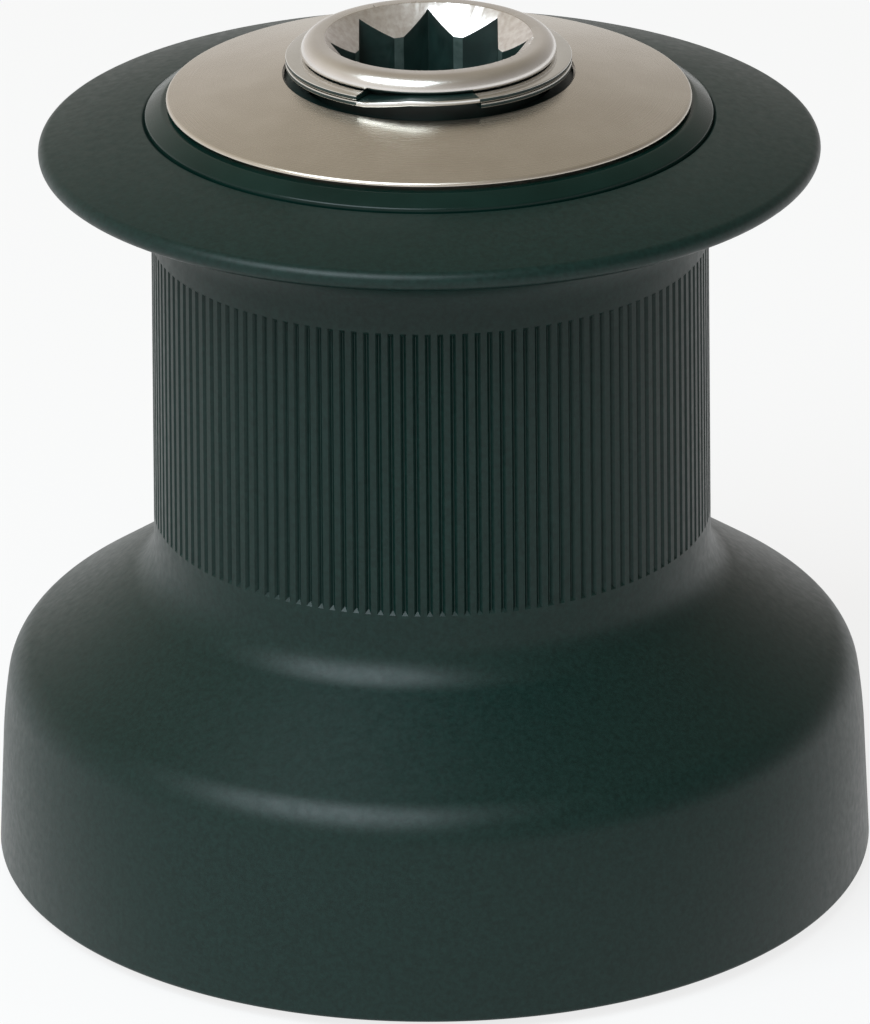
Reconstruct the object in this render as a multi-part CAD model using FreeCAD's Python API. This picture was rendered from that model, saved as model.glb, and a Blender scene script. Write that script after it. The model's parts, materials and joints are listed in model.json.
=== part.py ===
import FreeCAD, Part
import math
import os

# A small deck winch with a plain top and one speed, for a lock-in handle.
# Millimetres, Z up, origin on the turning axis at deck level. The drum and the
# spindle turn about Z on a base that is bolted down through its flange.
# The radii build up from the handle's square outwards, each on the one inside it.
# Names ending in _R are radii, and names ending in _DEG are angles.

# Driving sizes
HANDLE_SQUARE = 17.5
SKIRT_R = 56.9
CROWN = 100.8
HUB_TOP = 20.0

# Fits between neighbours
SLIDE_FIT = 0.1
PLAY = 0.3
RUN_GAP = 0.5

# Handle socket: a star of two handle squares
STAR_R = HANDLE_SQUARE / math.sqrt(2)
STAR_POINTS = 8
STAR_TIP_FLAT = 1.4
STAR_DEPTH = 24.0
COUNTERSINK_LIP = 0.7
COUNTERSINK_DEPTH = 4.2
LOCK_CHAMBER_STEP = 2.8
LOCK_CHAMBER_R = STAR_R - LOCK_CHAMBER_STEP
LOCK_CHAMBER_DEPTH = 7.0

# Pawls, their pins and springs
TIP_CLEARANCE = 0.9
BASE_PAWL_EYE_R = 3.5
BASE_PAWL_PIN_R = 2.0
BASE_PAWL_THICK = 8.0
BASE_PAWL_REACH_DEG = 25.0
SPINDLE_PAWL_EYE_R = 2.6
SPINDLE_PAWL_PIN_R = 1.4
SPINDLE_PAWL_THICK = 7.0
SPINDLE_PAWL_REACH_DEG = 34.0
SPINDLE_POCKET_START_DEG = 14.0
PIN_HOLD = 6.0
SPRING_THICK = 0.4
SPRING_INSET = 2.0
SPRING_PAST_PAWL_DEG = 8.0

# Spindle, from the socket out to the pawl carrier
SOCKET_WALL = 3.0
SOCKET_BODY_R = STAR_R + SOCKET_WALL
NECK_WALL = 2.6
NECK_R = STAR_R + NECK_WALL
HEAD_WALL = 3.7
HEAD_R = STAR_R + HEAD_WALL
HEAD_THICK = 2.25
HEAD_ROUND = 1.9
HEAD_EDGE = 0.35
POCKET_FLOOR_R = SOCKET_BODY_R + RUN_GAP
SPINDLE_PAWL_PIVOT_R = POCKET_FLOOR_R + SPINDLE_PAWL_EYE_R + TIP_CLEARANCE
CARRIER_WALL = 0.8
CARRIER_R = SPINDLE_PAWL_PIVOT_R + SPINDLE_PAWL_EYE_R + CARRIER_WALL
CARRIER_HEIGHT = 11.9
SHAFT_R = 9.0
SHAFT_LOW = 1.0

# Upper ratchet ring, in the drum's top
PAWL_THROW = 2.2
HIGH_RING_TIP_R = CARRIER_R + PAWL_THROW
HIGH_TOOTH_DEPTH = 2.8
HIGH_RING_ROOT_R = HIGH_RING_TIP_R + HIGH_TOOTH_DEPTH
HIGH_RING_WALL = 3.7
HIGH_RING_R = HIGH_RING_ROOT_R + HIGH_RING_WALL
HIGH_RING_BELOW_CROWN = 3.8
HIGH_RING_TOP = CROWN - HIGH_RING_BELOW_CROWN
HIGH_RING_HEIGHT = 11.0
HIGH_RING_LOW = HIGH_RING_TOP - HIGH_RING_HEIGHT
HIGH_RING_TEETH = 20
TOOTH_FLANK_SHARE = 0.08
TOOTH_VALLEY_SHARE = 0.16

# Seat ring and polished cap, on top of the drum
CAP_SPIGOT_R = HIGH_RING_R - SLIDE_FIT
CAP_SPIGOT_WALL = 2.2
CAP_OVERHANG = 1.7
CAP_R = CAP_SPIGOT_R + CAP_OVERHANG
CAP_RIM_ROUND = 0.5
CAP_WALL = 2.6
SEAT_RING_IN_R = CAP_SPIGOT_R + 2 * SLIDE_FIT
SEAT_RING_SHOULDER = 0.6
SEAT_RING_BEVEL_R = CAP_R + SEAT_RING_SHOULDER
SEAT_RING_BEVEL = 2.1
SEAT_RING_R = SEAT_RING_BEVEL_R + SEAT_RING_BEVEL
SEAT_RING_EDGE = 0.8
SEAT_RING_RISE = 1.7
SEAT_RING_TOP = CROWN + SEAT_RING_RISE
CAP_SEAT_GAP = 0.5
CAP_UNDER = SEAT_RING_TOP + CAP_SEAT_GAP
CAP_RIM_THICK = 0.6
CAP_RIM = CAP_UNDER + CAP_RIM_THICK
CAP_RISE = 2.7
CAP_CREST = CAP_RIM + CAP_RISE
CAP_RECESS_DEPTH = 0.9
CAP_EYE_GAP = 0.9
CAP_EYE_R = NECK_R + CAP_EYE_GAP
CAP_BOSS_WALL = 3.5
CAP_BOSS_R = CAP_EYE_R + CAP_BOSS_WALL

# Retaining ring of two turns under the spindle's head, seen from above
RETAINER_GROOVE_DEPTH = 0.6
RETAINER_IN_R = NECK_R - RETAINER_GROOVE_DEPTH
RETAINER_PAST_HEAD = 1.9
RETAINER_R = HEAD_R + RETAINER_PAST_HEAD
CAP_RECESS_GAP = 0.2
CAP_RECESS_R = RETAINER_R + CAP_RECESS_GAP
RETAINER_RISE = 0.95
RETAINER_LOW = CAP_CREST + RETAINER_RISE
RETAINER_THICK = 0.65
RETAINER_SLIT = 0.1
RETAINER_HIGH = RETAINER_LOW + RETAINER_THICK + RETAINER_SLIT
RETAINER_HIGH_END_DEG = 240.0
RETAINER_LOW_END_DEG = 291.0
RETAINER_JOG_HIGH_DEG = 262.0
RETAINER_JOG_LOW_DEG = 243.0
HEAD_LOW = RETAINER_HIGH + RETAINER_THICK + SLIDE_FIT
HEAD_TOP = HEAD_LOW + HEAD_THICK
SOCKET_FLOOR = HEAD_TOP - STAR_DEPTH

# Drum outside, round the upper ratchet ring
DRUM_NECK_WALL = 4.4
BARREL_R = HIGH_RING_R + DRUM_NECK_WALL
BARREL_DRAFT_DEG = 0.8
COVE_ROUND = 7.0
FLANGE_REACH = 12.1
LIP_REACH = BARREL_R + FLANGE_REACH
LIP_ROUND = 1.3
LIP_BELOW_CROWN = 4.1
LIP = CROWN - LIP_BELOW_CROWN
NECK_ROUND = 7.0
NECK_BELOW_CROWN = 13.8
NECK = CROWN - NECK_BELOW_CROWN
CROWN_GROOVE = 0.4
CROWN_R = SEAT_RING_R + CROWN_GROOVE

# Skirt and shoulder
DECK_GAP = 1.5
SKIRT_EDGE = 0.6
SKIRT_LEAN_DEG = 3.15
SKIRT_TOP = 16.4
SKIRT_WALL = 3.1
BLEND_ROUND = 80.0
BLEND_DEG = 6.0
SHOULDER_ROUND = 7.2
SHOULDER_SLOPE_DEG = 33.5

# Straight knurl on the barrel
KNURL_COUNT = 145
KNURL_ABOVE_COVE = 3.35
KNURL_BELOW_NECK = 2.3
KNURL_TOP = NECK - KNURL_BELOW_NECK
KNURL_DEPTH = 0.4
KNURL_RUNOUT = 0.5
KNURL_FLOOR_SHARE = 0.06
KNURL_LAND_SHARE = 0.5

# Roller bearings between the drum and the stem
ROLLER_COUNT = 14
ROLLER_R = 3.0
ROLLER_LENGTH = 9.0
BEARING_LENGTH = 12.0
BEARING_BORE_WALL = 5.9
BEARING_BORE_R = BARREL_R - BEARING_BORE_WALL
CAGE_WALL = 3.4
SPACER_WALL = 1.8

# Stem of the base, inside the bearings
STEM_R = BEARING_BORE_R - 2 * ROLLER_R - RUN_GAP
STEM_BEVEL = 0.6
STEM_BELOW_RING = 1.5
STEM_TOP = HIGH_RING_LOW - STEM_BELOW_RING
COLLAR_STEP = 1.1
COLLAR_R = STEM_R + COLLAR_STEP
THRUST_STEP = 2.2
STEP_R = COLLAR_R + THRUST_STEP
STEP_HEIGHT = 10.0
STEP_TOP = HUB_TOP + STEP_HEIGHT

# Lower ratchet ring, round the base pawls
PAWL_ROOM = 3.7
LOW_RING_TIP_R = STEP_R + 2 * BASE_PAWL_EYE_R + PAWL_ROOM
LOW_TOOTH_DEPTH = 3.0
LOW_RING_ROOT_R = LOW_RING_TIP_R + LOW_TOOTH_DEPTH
LOW_RING_WALL = 3.5
LOW_RING_R = LOW_RING_ROOT_R + LOW_RING_WALL
LOW_RING_LOW = HUB_TOP + RUN_GAP
LOW_RING_HEIGHT = 9.0
LOW_RING_TOP = LOW_RING_LOW + LOW_RING_HEIGHT
LOW_RING_TEETH = 24
BASE_PAWL_PIVOT_R = (STEP_R + LOW_RING_TIP_R) / 2 - PLAY

# Drum inside
CEILING_ABOVE_RING_FOOT = 3.5
CEILING = LOW_RING_LOW + CEILING_ABOVE_RING_FOOT
CEILING_ROUND = 5.8
LOW_SEAT = 1.0
LOW_SEAT_R = LOW_RING_TIP_R - LOW_SEAT
THRUST_WASHER_THICK = 1.8
LEDGE_THICK = 3.0
LEDGE_LOW = STEP_TOP + THRUST_WASHER_THICK + PLAY
LEDGE_TOP = LEDGE_LOW + LEDGE_THICK
COLLAR_TOP = LEDGE_TOP + PLAY

# Bores of the base, with their bushes
BUSH_WALL = 2.1
BUSH_LENGTH = 18.0
STEM_BORE_R = SOCKET_BODY_R + RUN_GAP + BUSH_WALL
STEM_BORE_RISE = 6.0
STEM_BORE_FLOOR = HUB_TOP + STEM_BORE_RISE
TOP_BUSH_INSET = 2.5
TOP_BUSH_LOW = STEM_TOP - TOP_BUSH_INSET - BUSH_LENGTH
FOOT_BORE_R = SHAFT_R + RUN_GAP + BUSH_WALL
FOOT_RECESS_LEDGE = 4.9
FOOT_RECESS_R = FOOT_BORE_R + FOOT_RECESS_LEDGE
FOOT_RECESS_DEPTH = 5.0
FOOT_BUSH_INSET = 1.0
FOOT_BUSH_LOW = FOOT_RECESS_DEPTH + FOOT_BUSH_INSET

# Flange and hub of the base
FLANGE_SKIRT_GAP = 1.3
FLANGE_R = SKIRT_R - SKIRT_WALL - FLANGE_SKIRT_GAP
FLANGE_THICK = 6.5
FLANGE_BEVEL = 1.2
HUB_RING_GAP = 1.5
HUB_R = LOW_RING_TIP_R - HUB_RING_GAP
HUB_BEVEL = 1.0
HUB_FILLET = 1.5
POCKET_RIM = 3.0
POCKET_IN_R = FOOT_RECESS_R + POCKET_RIM
HUB_WALL = 5.5
POCKET_OUT_R = HUB_R - HUB_WALL
HUB_ROOF = 6.0
POCKET_DEPTH = HUB_TOP - HUB_ROOF
BOLT_COUNT = 5
BOLT_CIRCLE_R = (HUB_R + FLANGE_R) / 2
BOLT_HOLE_R = 3.3
BOLT_HEAD_R = 6.2
DRAIN_COUNT = 2
DRAIN_WIDTH = 8.0
DRAIN_DEPTH = 2.4

# Levels of the pawl carrier, between the stem and the cap
SPINDLE_WASHER_THICK = 1.6
CARRIER_LOW = STEM_TOP + SPINDLE_WASHER_THICK + PLAY
CARRIER_TOP = CARRIER_LOW + CARRIER_HEIGHT
SPINDLE_PAWL_LOW = (CARRIER_LOW + CARRIER_TOP - SPINDLE_PAWL_THICK) / 2
CAP_BOSS_GAP = 0.6
CAP_BOSS_LOW = CARRIER_TOP + CAP_BOSS_GAP

# Washers and circlip
THRUST_WASHER_GAP = 0.6
THRUST_WASHER_R = BEARING_BORE_R - THRUST_WASHER_GAP
SPINDLE_WASHER_R = CARRIER_R - PLAY
FOOT_WASHER_GAP = 2.5
FOOT_WASHER_R = FOOT_RECESS_R - FOOT_WASHER_GAP
FOOT_WASHER_THICK = 1.3
CIRCLIP_THICK = 1.0
CIRCLIP_RIM = 2.6
CIRCLIP_R = SHAFT_R + CIRCLIP_RIM
CIRCLIP_GROOVE_DEPTH = 1.4
CIRCLIP_GROOVE_R = SHAFT_R - CIRCLIP_GROOVE_DEPTH
CIRCLIP_LOW = FOOT_RECESS_DEPTH - PLAY - FOOT_WASHER_THICK - SLIDE_FIT - CIRCLIP_THICK
CIRCLIP_GAP_DEG = 50.0

ORIGIN = FreeCAD.Vector(0, 0, 0)
UP = FreeCAD.Vector(0, 0, 1)


def polar(radius, degrees, z=0.0):
    angle = math.radians(degrees)
    return FreeCAD.Vector(radius * math.cos(angle), radius * math.sin(angle), z)


def on_arc(centre, radius, degrees):
    """Point of a section, (r, z), at an angle round an arc's centre."""
    angle = math.radians(degrees)
    return (centre[0] + radius * math.cos(angle), centre[1] + radius * math.sin(angle))


def in_section(point):
    return FreeCAD.Vector(point[0], 0, point[1])


def turned(path):
    """Turn a closed outline about Z. An entry is (r, z), or a pair: point on an arc, end of the arc."""
    edges = []
    here = path[0]
    for entry in path[1:] + [path[0]]:
        if isinstance(entry[0], tuple):
            middle, there = entry
            arc = Part.Arc(in_section(here), in_section(middle), in_section(there))
            edges.append(arc.toShape())
        else:
            there = entry
            edges.append(Part.LineSegment(in_section(here), in_section(there)).toShape())
        here = there
    return Part.Face(Part.Wire(edges)).revolve(ORIGIN, UP, 360)


def tube(outer_r, inner_r, low, high):
    return turned([(inner_r, low), (outer_r, low), (outer_r, high), (inner_r, high)])


def rod(radius, low, high, centre=ORIGIN):
    return Part.makeCylinder(radius, high - low, FreeCAD.Vector(centre.x, centre.y, low))


def plate(corners, low, high):
    """Extrude a closed polygon of plan points from one height to another."""
    loop = [FreeCAD.Vector(c.x, c.y, low) for c in corners]
    return Part.Face(Part.makePolygon(loop + loop[:1])).extrude(UP * (high - low))


def swung(shape, degrees):
    copy = shape.copy()
    copy.rotate(ORIGIN, UP, degrees)
    return copy


def around(shape, count):
    """Copies of a shape, evenly spaced about Z."""
    return [swung(shape, 360.0 * i / count) for i in range(count)]


# Base

def base_casting():
    """Flange, hub and hollow stem in one casting, open underneath."""
    foot = (HUB_R + HUB_FILLET, FLANGE_THICK + HUB_FILLET)
    body = turned([
        (FOOT_BORE_R, FOOT_RECESS_DEPTH),
        (FOOT_RECESS_R, FOOT_RECESS_DEPTH),
        (FOOT_RECESS_R, 0),
        (FLANGE_R, 0),
        (FLANGE_R, FLANGE_THICK - FLANGE_BEVEL),
        (FLANGE_R - FLANGE_BEVEL, FLANGE_THICK),
        (HUB_R + HUB_FILLET, FLANGE_THICK),
        (on_arc(foot, HUB_FILLET, 225), (HUB_R, FLANGE_THICK + HUB_FILLET)),
        (HUB_R, HUB_TOP - HUB_BEVEL),
        (HUB_R - HUB_BEVEL, HUB_TOP),
        (STEP_R, HUB_TOP),
        (STEP_R, STEP_TOP),
        (COLLAR_R, STEP_TOP),
        (COLLAR_R, COLLAR_TOP),
        (STEM_R, COLLAR_TOP),
        (STEM_R, STEM_TOP - STEM_BEVEL),
        (STEM_R - STEM_BEVEL, STEM_TOP),
        (STEM_BORE_R, STEM_TOP),
        (STEM_BORE_R, STEM_BORE_FLOOR),
        (FOOT_BORE_R, STEM_BORE_FLOOR),
    ])
    cuts = [tube(POCKET_OUT_R, POCKET_IN_R, 0, POCKET_DEPTH)]
    cuts += around(bolt_hole(), BOLT_COUNT)
    cuts += around(drain_slot(), DRAIN_COUNT)
    cuts += around(base_pin_hole(), 2)
    return body.cut(cuts)


def bolt_hole():
    """Clearance hole with a countersink for a flat-headed bolt, one of the ring facing +Y."""
    centre = polar(BOLT_CIRCLE_R, 90)
    sink_depth = BOLT_HEAD_R - BOLT_HOLE_R
    sink_low = FreeCAD.Vector(centre.x, centre.y, FLANGE_THICK - sink_depth)
    sink = Part.makeCone(BOLT_HOLE_R, BOLT_HEAD_R, sink_depth, sink_low)
    return rod(BOLT_HOLE_R, 0, FLANGE_THICK, centre).fuse(sink)


def drain_slot():
    """Slot under the flange that lets water out of the hub's pocket."""
    start = FreeCAD.Vector(POCKET_OUT_R - RUN_GAP, -DRAIN_WIDTH / 2, 0)
    return Part.makeBox(FLANGE_R - POCKET_OUT_R + 2 * RUN_GAP, DRAIN_WIDTH, DRAIN_DEPTH, start)


def base_pin_hole():
    return rod(BASE_PAWL_PIN_R, HUB_TOP - PIN_HOLD, HUB_TOP, polar(BASE_PAWL_PIVOT_R, 0))


def drum_thrust_washer():
    return tube(THRUST_WASHER_R, COLLAR_R + SLIDE_FIT, STEP_TOP, STEP_TOP + THRUST_WASHER_THICK)


def roller_bearing(low):
    """Cage with its rollers standing proud inside and outside."""
    high = low + BEARING_LENGTH
    centre_r = STEM_R + SLIDE_FIT + ROLLER_R
    cage = tube(centre_r + CAGE_WALL / 2, centre_r - CAGE_WALL / 2, low, high)
    margin = (BEARING_LENGTH - ROLLER_LENGTH) / 2
    roller = rod(ROLLER_R, low + margin, high - margin, polar(centre_r, 0))
    return cage.fuse(around(roller, ROLLER_COUNT))


def upper_bearing_low():
    return STEM_TOP - SLIDE_FIT - BEARING_LENGTH


def bearing_spacer():
    inner_r = STEM_R + SLIDE_FIT
    return tube(inner_r + SPACER_WALL, inner_r, COLLAR_TOP + BEARING_LENGTH, upper_bearing_low())


def bush(outer_r, low):
    return tube(outer_r, outer_r - BUSH_WALL, low, low + BUSH_LENGTH)


def pawl(pivot_r, eye_r, pin_r, tip_r, reach, low, high):
    """Pawl folded inwards, clear of the teeth. Its arm points clockwise from the pivot."""
    centre = polar(pivot_r, 0)
    back_r = (pivot_r + eye_r + tip_r) / 2
    arm = plate([
        polar(pivot_r + eye_r, 0),
        polar(back_r + eye_r / 8, -reach / 2),
        polar(tip_r, -reach),
        polar(tip_r - eye_r, -reach * 1.04),
        polar(pivot_r - eye_r / 5, -reach / 2),
        polar(pivot_r - eye_r * 0.6, -reach / 10),
    ], low, high)
    body = arm.fuse(rod(eye_r, low, high, centre)).removeSplitter()
    return body.cut(rod(pin_r + SLIDE_FIT / 2, low, high, centre))


def leaf_spring(wall_r, lean_r, reach, low, high):
    """Bent strip that lies on a round wall and leans out against a pawl."""
    lying_r = wall_r + SLIDE_FIT
    reach += SPRING_PAST_PAWL_DEG
    angles = [0.0, -reach / 5, -reach * 2 / 5]
    face = [polar(lying_r, a) for a in angles]
    back = [polar(lying_r + SPRING_THICK, a) for a in angles]
    tip = [polar(lean_r - SPRING_THICK, -reach), polar(lean_r, -reach)]
    return plate(face + tip + back[::-1], low, high)


def base_pawl():
    low = HUB_TOP + PLAY
    return pawl(BASE_PAWL_PIVOT_R, BASE_PAWL_EYE_R, BASE_PAWL_PIN_R, LOW_RING_TIP_R - TIP_CLEARANCE,
                BASE_PAWL_REACH_DEG, low, low + BASE_PAWL_THICK)


def base_pawl_pin():
    high = HUB_TOP + 2 * PLAY + BASE_PAWL_THICK
    return rod(BASE_PAWL_PIN_R, HUB_TOP - PIN_HOLD, high, polar(BASE_PAWL_PIVOT_R, 0))


def base_pawl_spring():
    low = HUB_TOP + PLAY + SPRING_INSET
    lean_r = LOW_RING_TIP_R - TIP_CLEARANCE - BASE_PAWL_EYE_R - SPRING_INSET
    return leaf_spring(STEP_R, lean_r, BASE_PAWL_REACH_DEG, low, low + BASE_PAWL_THICK - 2 * SPRING_INSET)


# Drum

def shoulder_outline():
    """From the top of the skirt's side to the foot of the barrel: blend, shoulder, slope and cove."""
    lean = SKIRT_LEAN_DEG
    side_r = SKIRT_R - (SKIRT_TOP - DECK_GAP) * math.tan(math.radians(lean))
    blend = on_arc((side_r, SKIRT_TOP), -BLEND_ROUND, lean)
    turn = lean + BLEND_DEG
    blend_end = on_arc(blend, BLEND_ROUND, turn)
    round_centre = on_arc(blend_end, -SHOULDER_ROUND, turn)
    slope = 90 - SHOULDER_SLOPE_DEG
    round_end = on_arc(round_centre, SHOULDER_ROUND, slope)
    cove_r = BARREL_R + COVE_ROUND * math.cos(math.radians(BARREL_DRAFT_DEG))
    cove_start_r = cove_r - COVE_ROUND * math.cos(math.radians(slope))
    rise = (round_end[0] - cove_start_r) * math.tan(math.radians(SHOULDER_SLOPE_DEG))
    cove = (cove_r, round_end[1] + rise + COVE_ROUND * math.sin(math.radians(slope)))
    return [
        (side_r, SKIRT_TOP),
        (on_arc(blend, BLEND_ROUND, lean + BLEND_DEG / 2), blend_end),
        (on_arc(round_centre, SHOULDER_ROUND, (turn + slope) / 2), round_end),
        on_arc(cove, -COVE_ROUND, slope),
        (on_arc(cove, -COVE_ROUND, slope / 2), on_arc(cove, -COVE_ROUND, BARREL_DRAFT_DEG)),
    ]


def barrel_foot():
    return shoulder_outline()[-1][1]


def barrel_r(z):
    foot_r, foot = barrel_foot()
    return foot_r - (z - foot) * math.tan(math.radians(BARREL_DRAFT_DEG))


def flange_outline():
    """From the neck fillet under the flange, round its lip and up the crown to the groove."""
    neck = (barrel_r(NECK) + NECK_ROUND, NECK)
    lip = (LIP_REACH, LIP)
    run = (lip[0] - neck[0], lip[1] - neck[1])
    cross = math.degrees(math.acos((NECK_ROUND + LIP_ROUND) / math.hypot(run[0], run[1])))
    under = math.degrees(math.atan2(run[1], run[0])) + cross
    crown = (CROWN_R - lip[0], CROWN - lip[1])
    touch = math.degrees(math.acos(LIP_ROUND / math.hypot(crown[0], crown[1])))
    over = math.degrees(math.atan2(crown[1], crown[0])) - touch
    return [
        (barrel_r(NECK), NECK),
        (on_arc(neck, NECK_ROUND, (180 + under) / 2), on_arc(neck, NECK_ROUND, under)),
        on_arc(lip, -LIP_ROUND, under),
        (on_arc(lip, LIP_ROUND, 0), on_arc(lip, LIP_ROUND, over)),
        (CROWN_R, CROWN),
        (CROWN_R - CROWN_GROOVE, CROWN - CROWN_GROOVE),
    ]


def drum_bore_outline():
    """From the crown down the inside: ratchet seat, bearing bore, thrust ledge, lower seat and skirt."""
    side_slope = math.tan(math.radians(SKIRT_LEAN_DEG))
    ceiling_width = SKIRT_R - SKIRT_WALL - (CEILING - DECK_GAP) * side_slope - LOW_RING_R
    ceiling_round = min(CEILING_ROUND, ceiling_width - RUN_GAP)
    corner_z = CEILING - ceiling_round
    corner_r = SKIRT_R - SKIRT_WALL - (corner_z - DECK_GAP) * side_slope
    corner = (corner_r - ceiling_round, corner_z)
    return [
        (HIGH_RING_R, CROWN - CROWN_GROOVE),
        (HIGH_RING_R, HIGH_RING_LOW),
        (BEARING_BORE_R, HIGH_RING_LOW),
        (BEARING_BORE_R, LEDGE_TOP),
        (COLLAR_R + 2 * RUN_GAP, LEDGE_TOP),
        (COLLAR_R + 2 * RUN_GAP, LEDGE_LOW),
        (LOW_SEAT_R, LEDGE_LOW),
        (LOW_SEAT_R, LOW_RING_TOP),
        (LOW_RING_R, LOW_RING_TOP),
        (LOW_RING_R, CEILING),
        (corner[0], CEILING),
        (on_arc(corner, ceiling_round, 45), (corner_r, corner_z)),
        (SKIRT_R - SKIRT_WALL, DECK_GAP),
    ]


def drum():
    """Hollow one-piece drum: skirt, shoulder, cove, knurled barrel and top flange."""
    edge = (SKIRT_R - SKIRT_EDGE, DECK_GAP + SKIRT_EDGE)
    foot = [
        (SKIRT_R - SKIRT_EDGE, DECK_GAP),
        (on_arc(edge, SKIRT_EDGE, -45), (SKIRT_R, DECK_GAP + SKIRT_EDGE)),
    ]
    body = turned(foot + shoulder_outline() + flange_outline() + drum_bore_outline())
    return body.cut(knurl_cutter())


def knurl_cutter():
    """All the grooves of the straight knurl at once: a sleeve with run-out cones, less a ribbed core."""
    low = barrel_foot()[1] + KNURL_ABOVE_COVE
    low_loop = knurl_loop(low - 3 * KNURL_RUNOUT)
    high_loop = knurl_loop(KNURL_TOP + 3 * KNURL_RUNOUT)
    faces = [Part.Face(Part.makePolygon(loop + loop[:1])) for loop in (low_loop, high_loop)]
    for i in range(len(low_loop)):
        after = (i + 1) % len(low_loop)
        corners = [low_loop[i], low_loop[after], high_loop[after], high_loop[i], low_loop[i]]
        faces.append(Part.Face(Part.makePolygon(corners)))
    core = Part.Solid(Part.Shell(faces))
    if core.Volume < 0:
        core.reverse()
    sleeve = turned([
        (barrel_r(low) - 2 * KNURL_DEPTH, low + 2 * KNURL_RUNOUT),
        (barrel_r(low) + 2 * KNURL_DEPTH, low - 2 * KNURL_RUNOUT),
        (barrel_r(KNURL_TOP) + 2 * KNURL_DEPTH, KNURL_TOP + 2 * KNURL_RUNOUT),
        (barrel_r(KNURL_TOP) - 2 * KNURL_DEPTH, KNURL_TOP - 2 * KNURL_RUNOUT),
    ])
    return sleeve.cut(core)


def knurl_loop(z):
    """Section of the knurl's core at one height, with a land facing +X.

    It shrinks with the draft, so the flanks are flat.
    """
    draft = barrel_r(z) / BARREL_R
    floor_r = (BARREL_R - KNURL_DEPTH) * draft
    crest_r = (BARREL_R + KNURL_DEPTH / 4) * draft
    pitch = 360.0 / KNURL_COUNT
    half_floor = KNURL_FLOOR_SHARE / 2
    flank = (1 - KNURL_FLOOR_SHARE - KNURL_LAND_SHARE) / 2
    half_mouth = half_floor + flank * 5 / 4
    corners = []
    for i in range(KNURL_COUNT):
        groove = (i + 0.5) * pitch
        corners.append(polar(floor_r, groove - half_floor * pitch, z))
        corners.append(polar(floor_r, groove + half_floor * pitch, z))
        corners.append(polar(crest_r, groove + half_mouth * pitch, z))
        corners.append(polar(crest_r, groove + (1 - half_mouth) * pitch, z))
    return corners


def ratchet_ring(outer_r, root_r, tip_r, teeth, low, high):
    """Ring with saw teeth inside. Their steep flanks stop a pawl that points clockwise."""
    step = 360.0 / teeth
    corners = []
    for i in range(teeth):
        corners.append(polar(tip_r, i * step))
        corners.append(polar(root_r, (i + TOOTH_FLANK_SHARE) * step))
        corners.append(polar(root_r, (i + TOOTH_FLANK_SHARE + TOOTH_VALLEY_SHARE) * step))
    return rod(outer_r, low, high).cut(plate(corners, low, high))


def lower_ratchet_ring():
    return ratchet_ring(LOW_RING_R, LOW_RING_ROOT_R, LOW_RING_TIP_R, LOW_RING_TEETH,
                        LOW_RING_LOW, LOW_RING_TOP)


def upper_ratchet_ring():
    return ratchet_ring(HIGH_RING_R, HIGH_RING_ROOT_R, HIGH_RING_TIP_R, HIGH_RING_TEETH,
                        HIGH_RING_LOW, HIGH_RING_TOP)


def cap_seat_ring():
    """Dark bevelled ring between the flange and the polished cap."""
    low = CROWN - CROWN_GROOVE
    return turned([
        (SEAT_RING_IN_R, low),
        (SEAT_RING_R, low),
        (SEAT_RING_R, low + SEAT_RING_EDGE),
        (SEAT_RING_BEVEL_R, SEAT_RING_TOP),
        (SEAT_RING_IN_R, SEAT_RING_TOP),
    ])


def top_cap():
    """Polished shallow cone with a spigot into the drum and a boss round the spindle's neck."""
    slope = (CAP_CREST - CAP_RIM) / (CAP_R - CAP_RECESS_R)
    spigot_in_r = CAP_SPIGOT_R - CAP_SPIGOT_WALL
    under_rim = CAP_RIM + slope * (CAP_R - spigot_in_r) - CAP_WALL
    under_crest = CAP_RIM + slope * (CAP_R - CAP_BOSS_R) - CAP_WALL
    rim = (CAP_R - CAP_RIM_ROUND, CAP_RIM - CAP_RIM_ROUND)
    return turned([
        (spigot_in_r, HIGH_RING_TOP),
        (CAP_SPIGOT_R, HIGH_RING_TOP),
        (CAP_SPIGOT_R, CAP_UNDER),
        (CAP_R, CAP_UNDER),
        (CAP_R, CAP_RIM - CAP_RIM_ROUND),
        (on_arc(rim, CAP_RIM_ROUND, 45), (CAP_R - CAP_RIM_ROUND, CAP_RIM)),
        (CAP_RECESS_R + CAP_RIM_ROUND / 2, CAP_CREST),
        (CAP_RECESS_R, CAP_CREST - CAP_RIM_ROUND / 2),
        (CAP_RECESS_R, CAP_CREST - CAP_RECESS_DEPTH),
        (CAP_EYE_R, CAP_CREST - CAP_RECESS_DEPTH),
        (CAP_EYE_R, CAP_BOSS_LOW),
        (CAP_BOSS_R, CAP_BOSS_LOW),
        (CAP_BOSS_R, under_crest),
        (spigot_in_r, under_rim),
    ])


# Spindle

def spindle():
    """Shaft, socket body, pawl carrier, neck and head, with the handle socket from above."""
    body = turned(shaft_outline() + carrier_outline() + head_outline() + [(0, HEAD_TOP)])
    return body.cut([handle_socket()] + around(pawl_pocket(), 2))


def shaft_outline():
    """Foot of the shaft with the circlip's groove, up to the pawl carrier."""
    bevel = (SHAFT_R - CIRCLIP_GROOVE_R) / 2
    cone_top = SOCKET_FLOOR - LOCK_CHAMBER_DEPTH - SHAFT_R
    return [
        (0, SHAFT_LOW),
        (SHAFT_R - bevel, SHAFT_LOW),
        (SHAFT_R, SHAFT_LOW + bevel),
        (SHAFT_R, CIRCLIP_LOW - SLIDE_FIT),
        (CIRCLIP_GROOVE_R, CIRCLIP_LOW - SLIDE_FIT),
        (CIRCLIP_GROOVE_R, CIRCLIP_LOW + CIRCLIP_THICK + SLIDE_FIT),
        (SHAFT_R, CIRCLIP_LOW + CIRCLIP_THICK + SLIDE_FIT),
        (SHAFT_R, cone_top - SOCKET_BODY_R + SHAFT_R),
        (SOCKET_BODY_R, cone_top),
    ]


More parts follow.
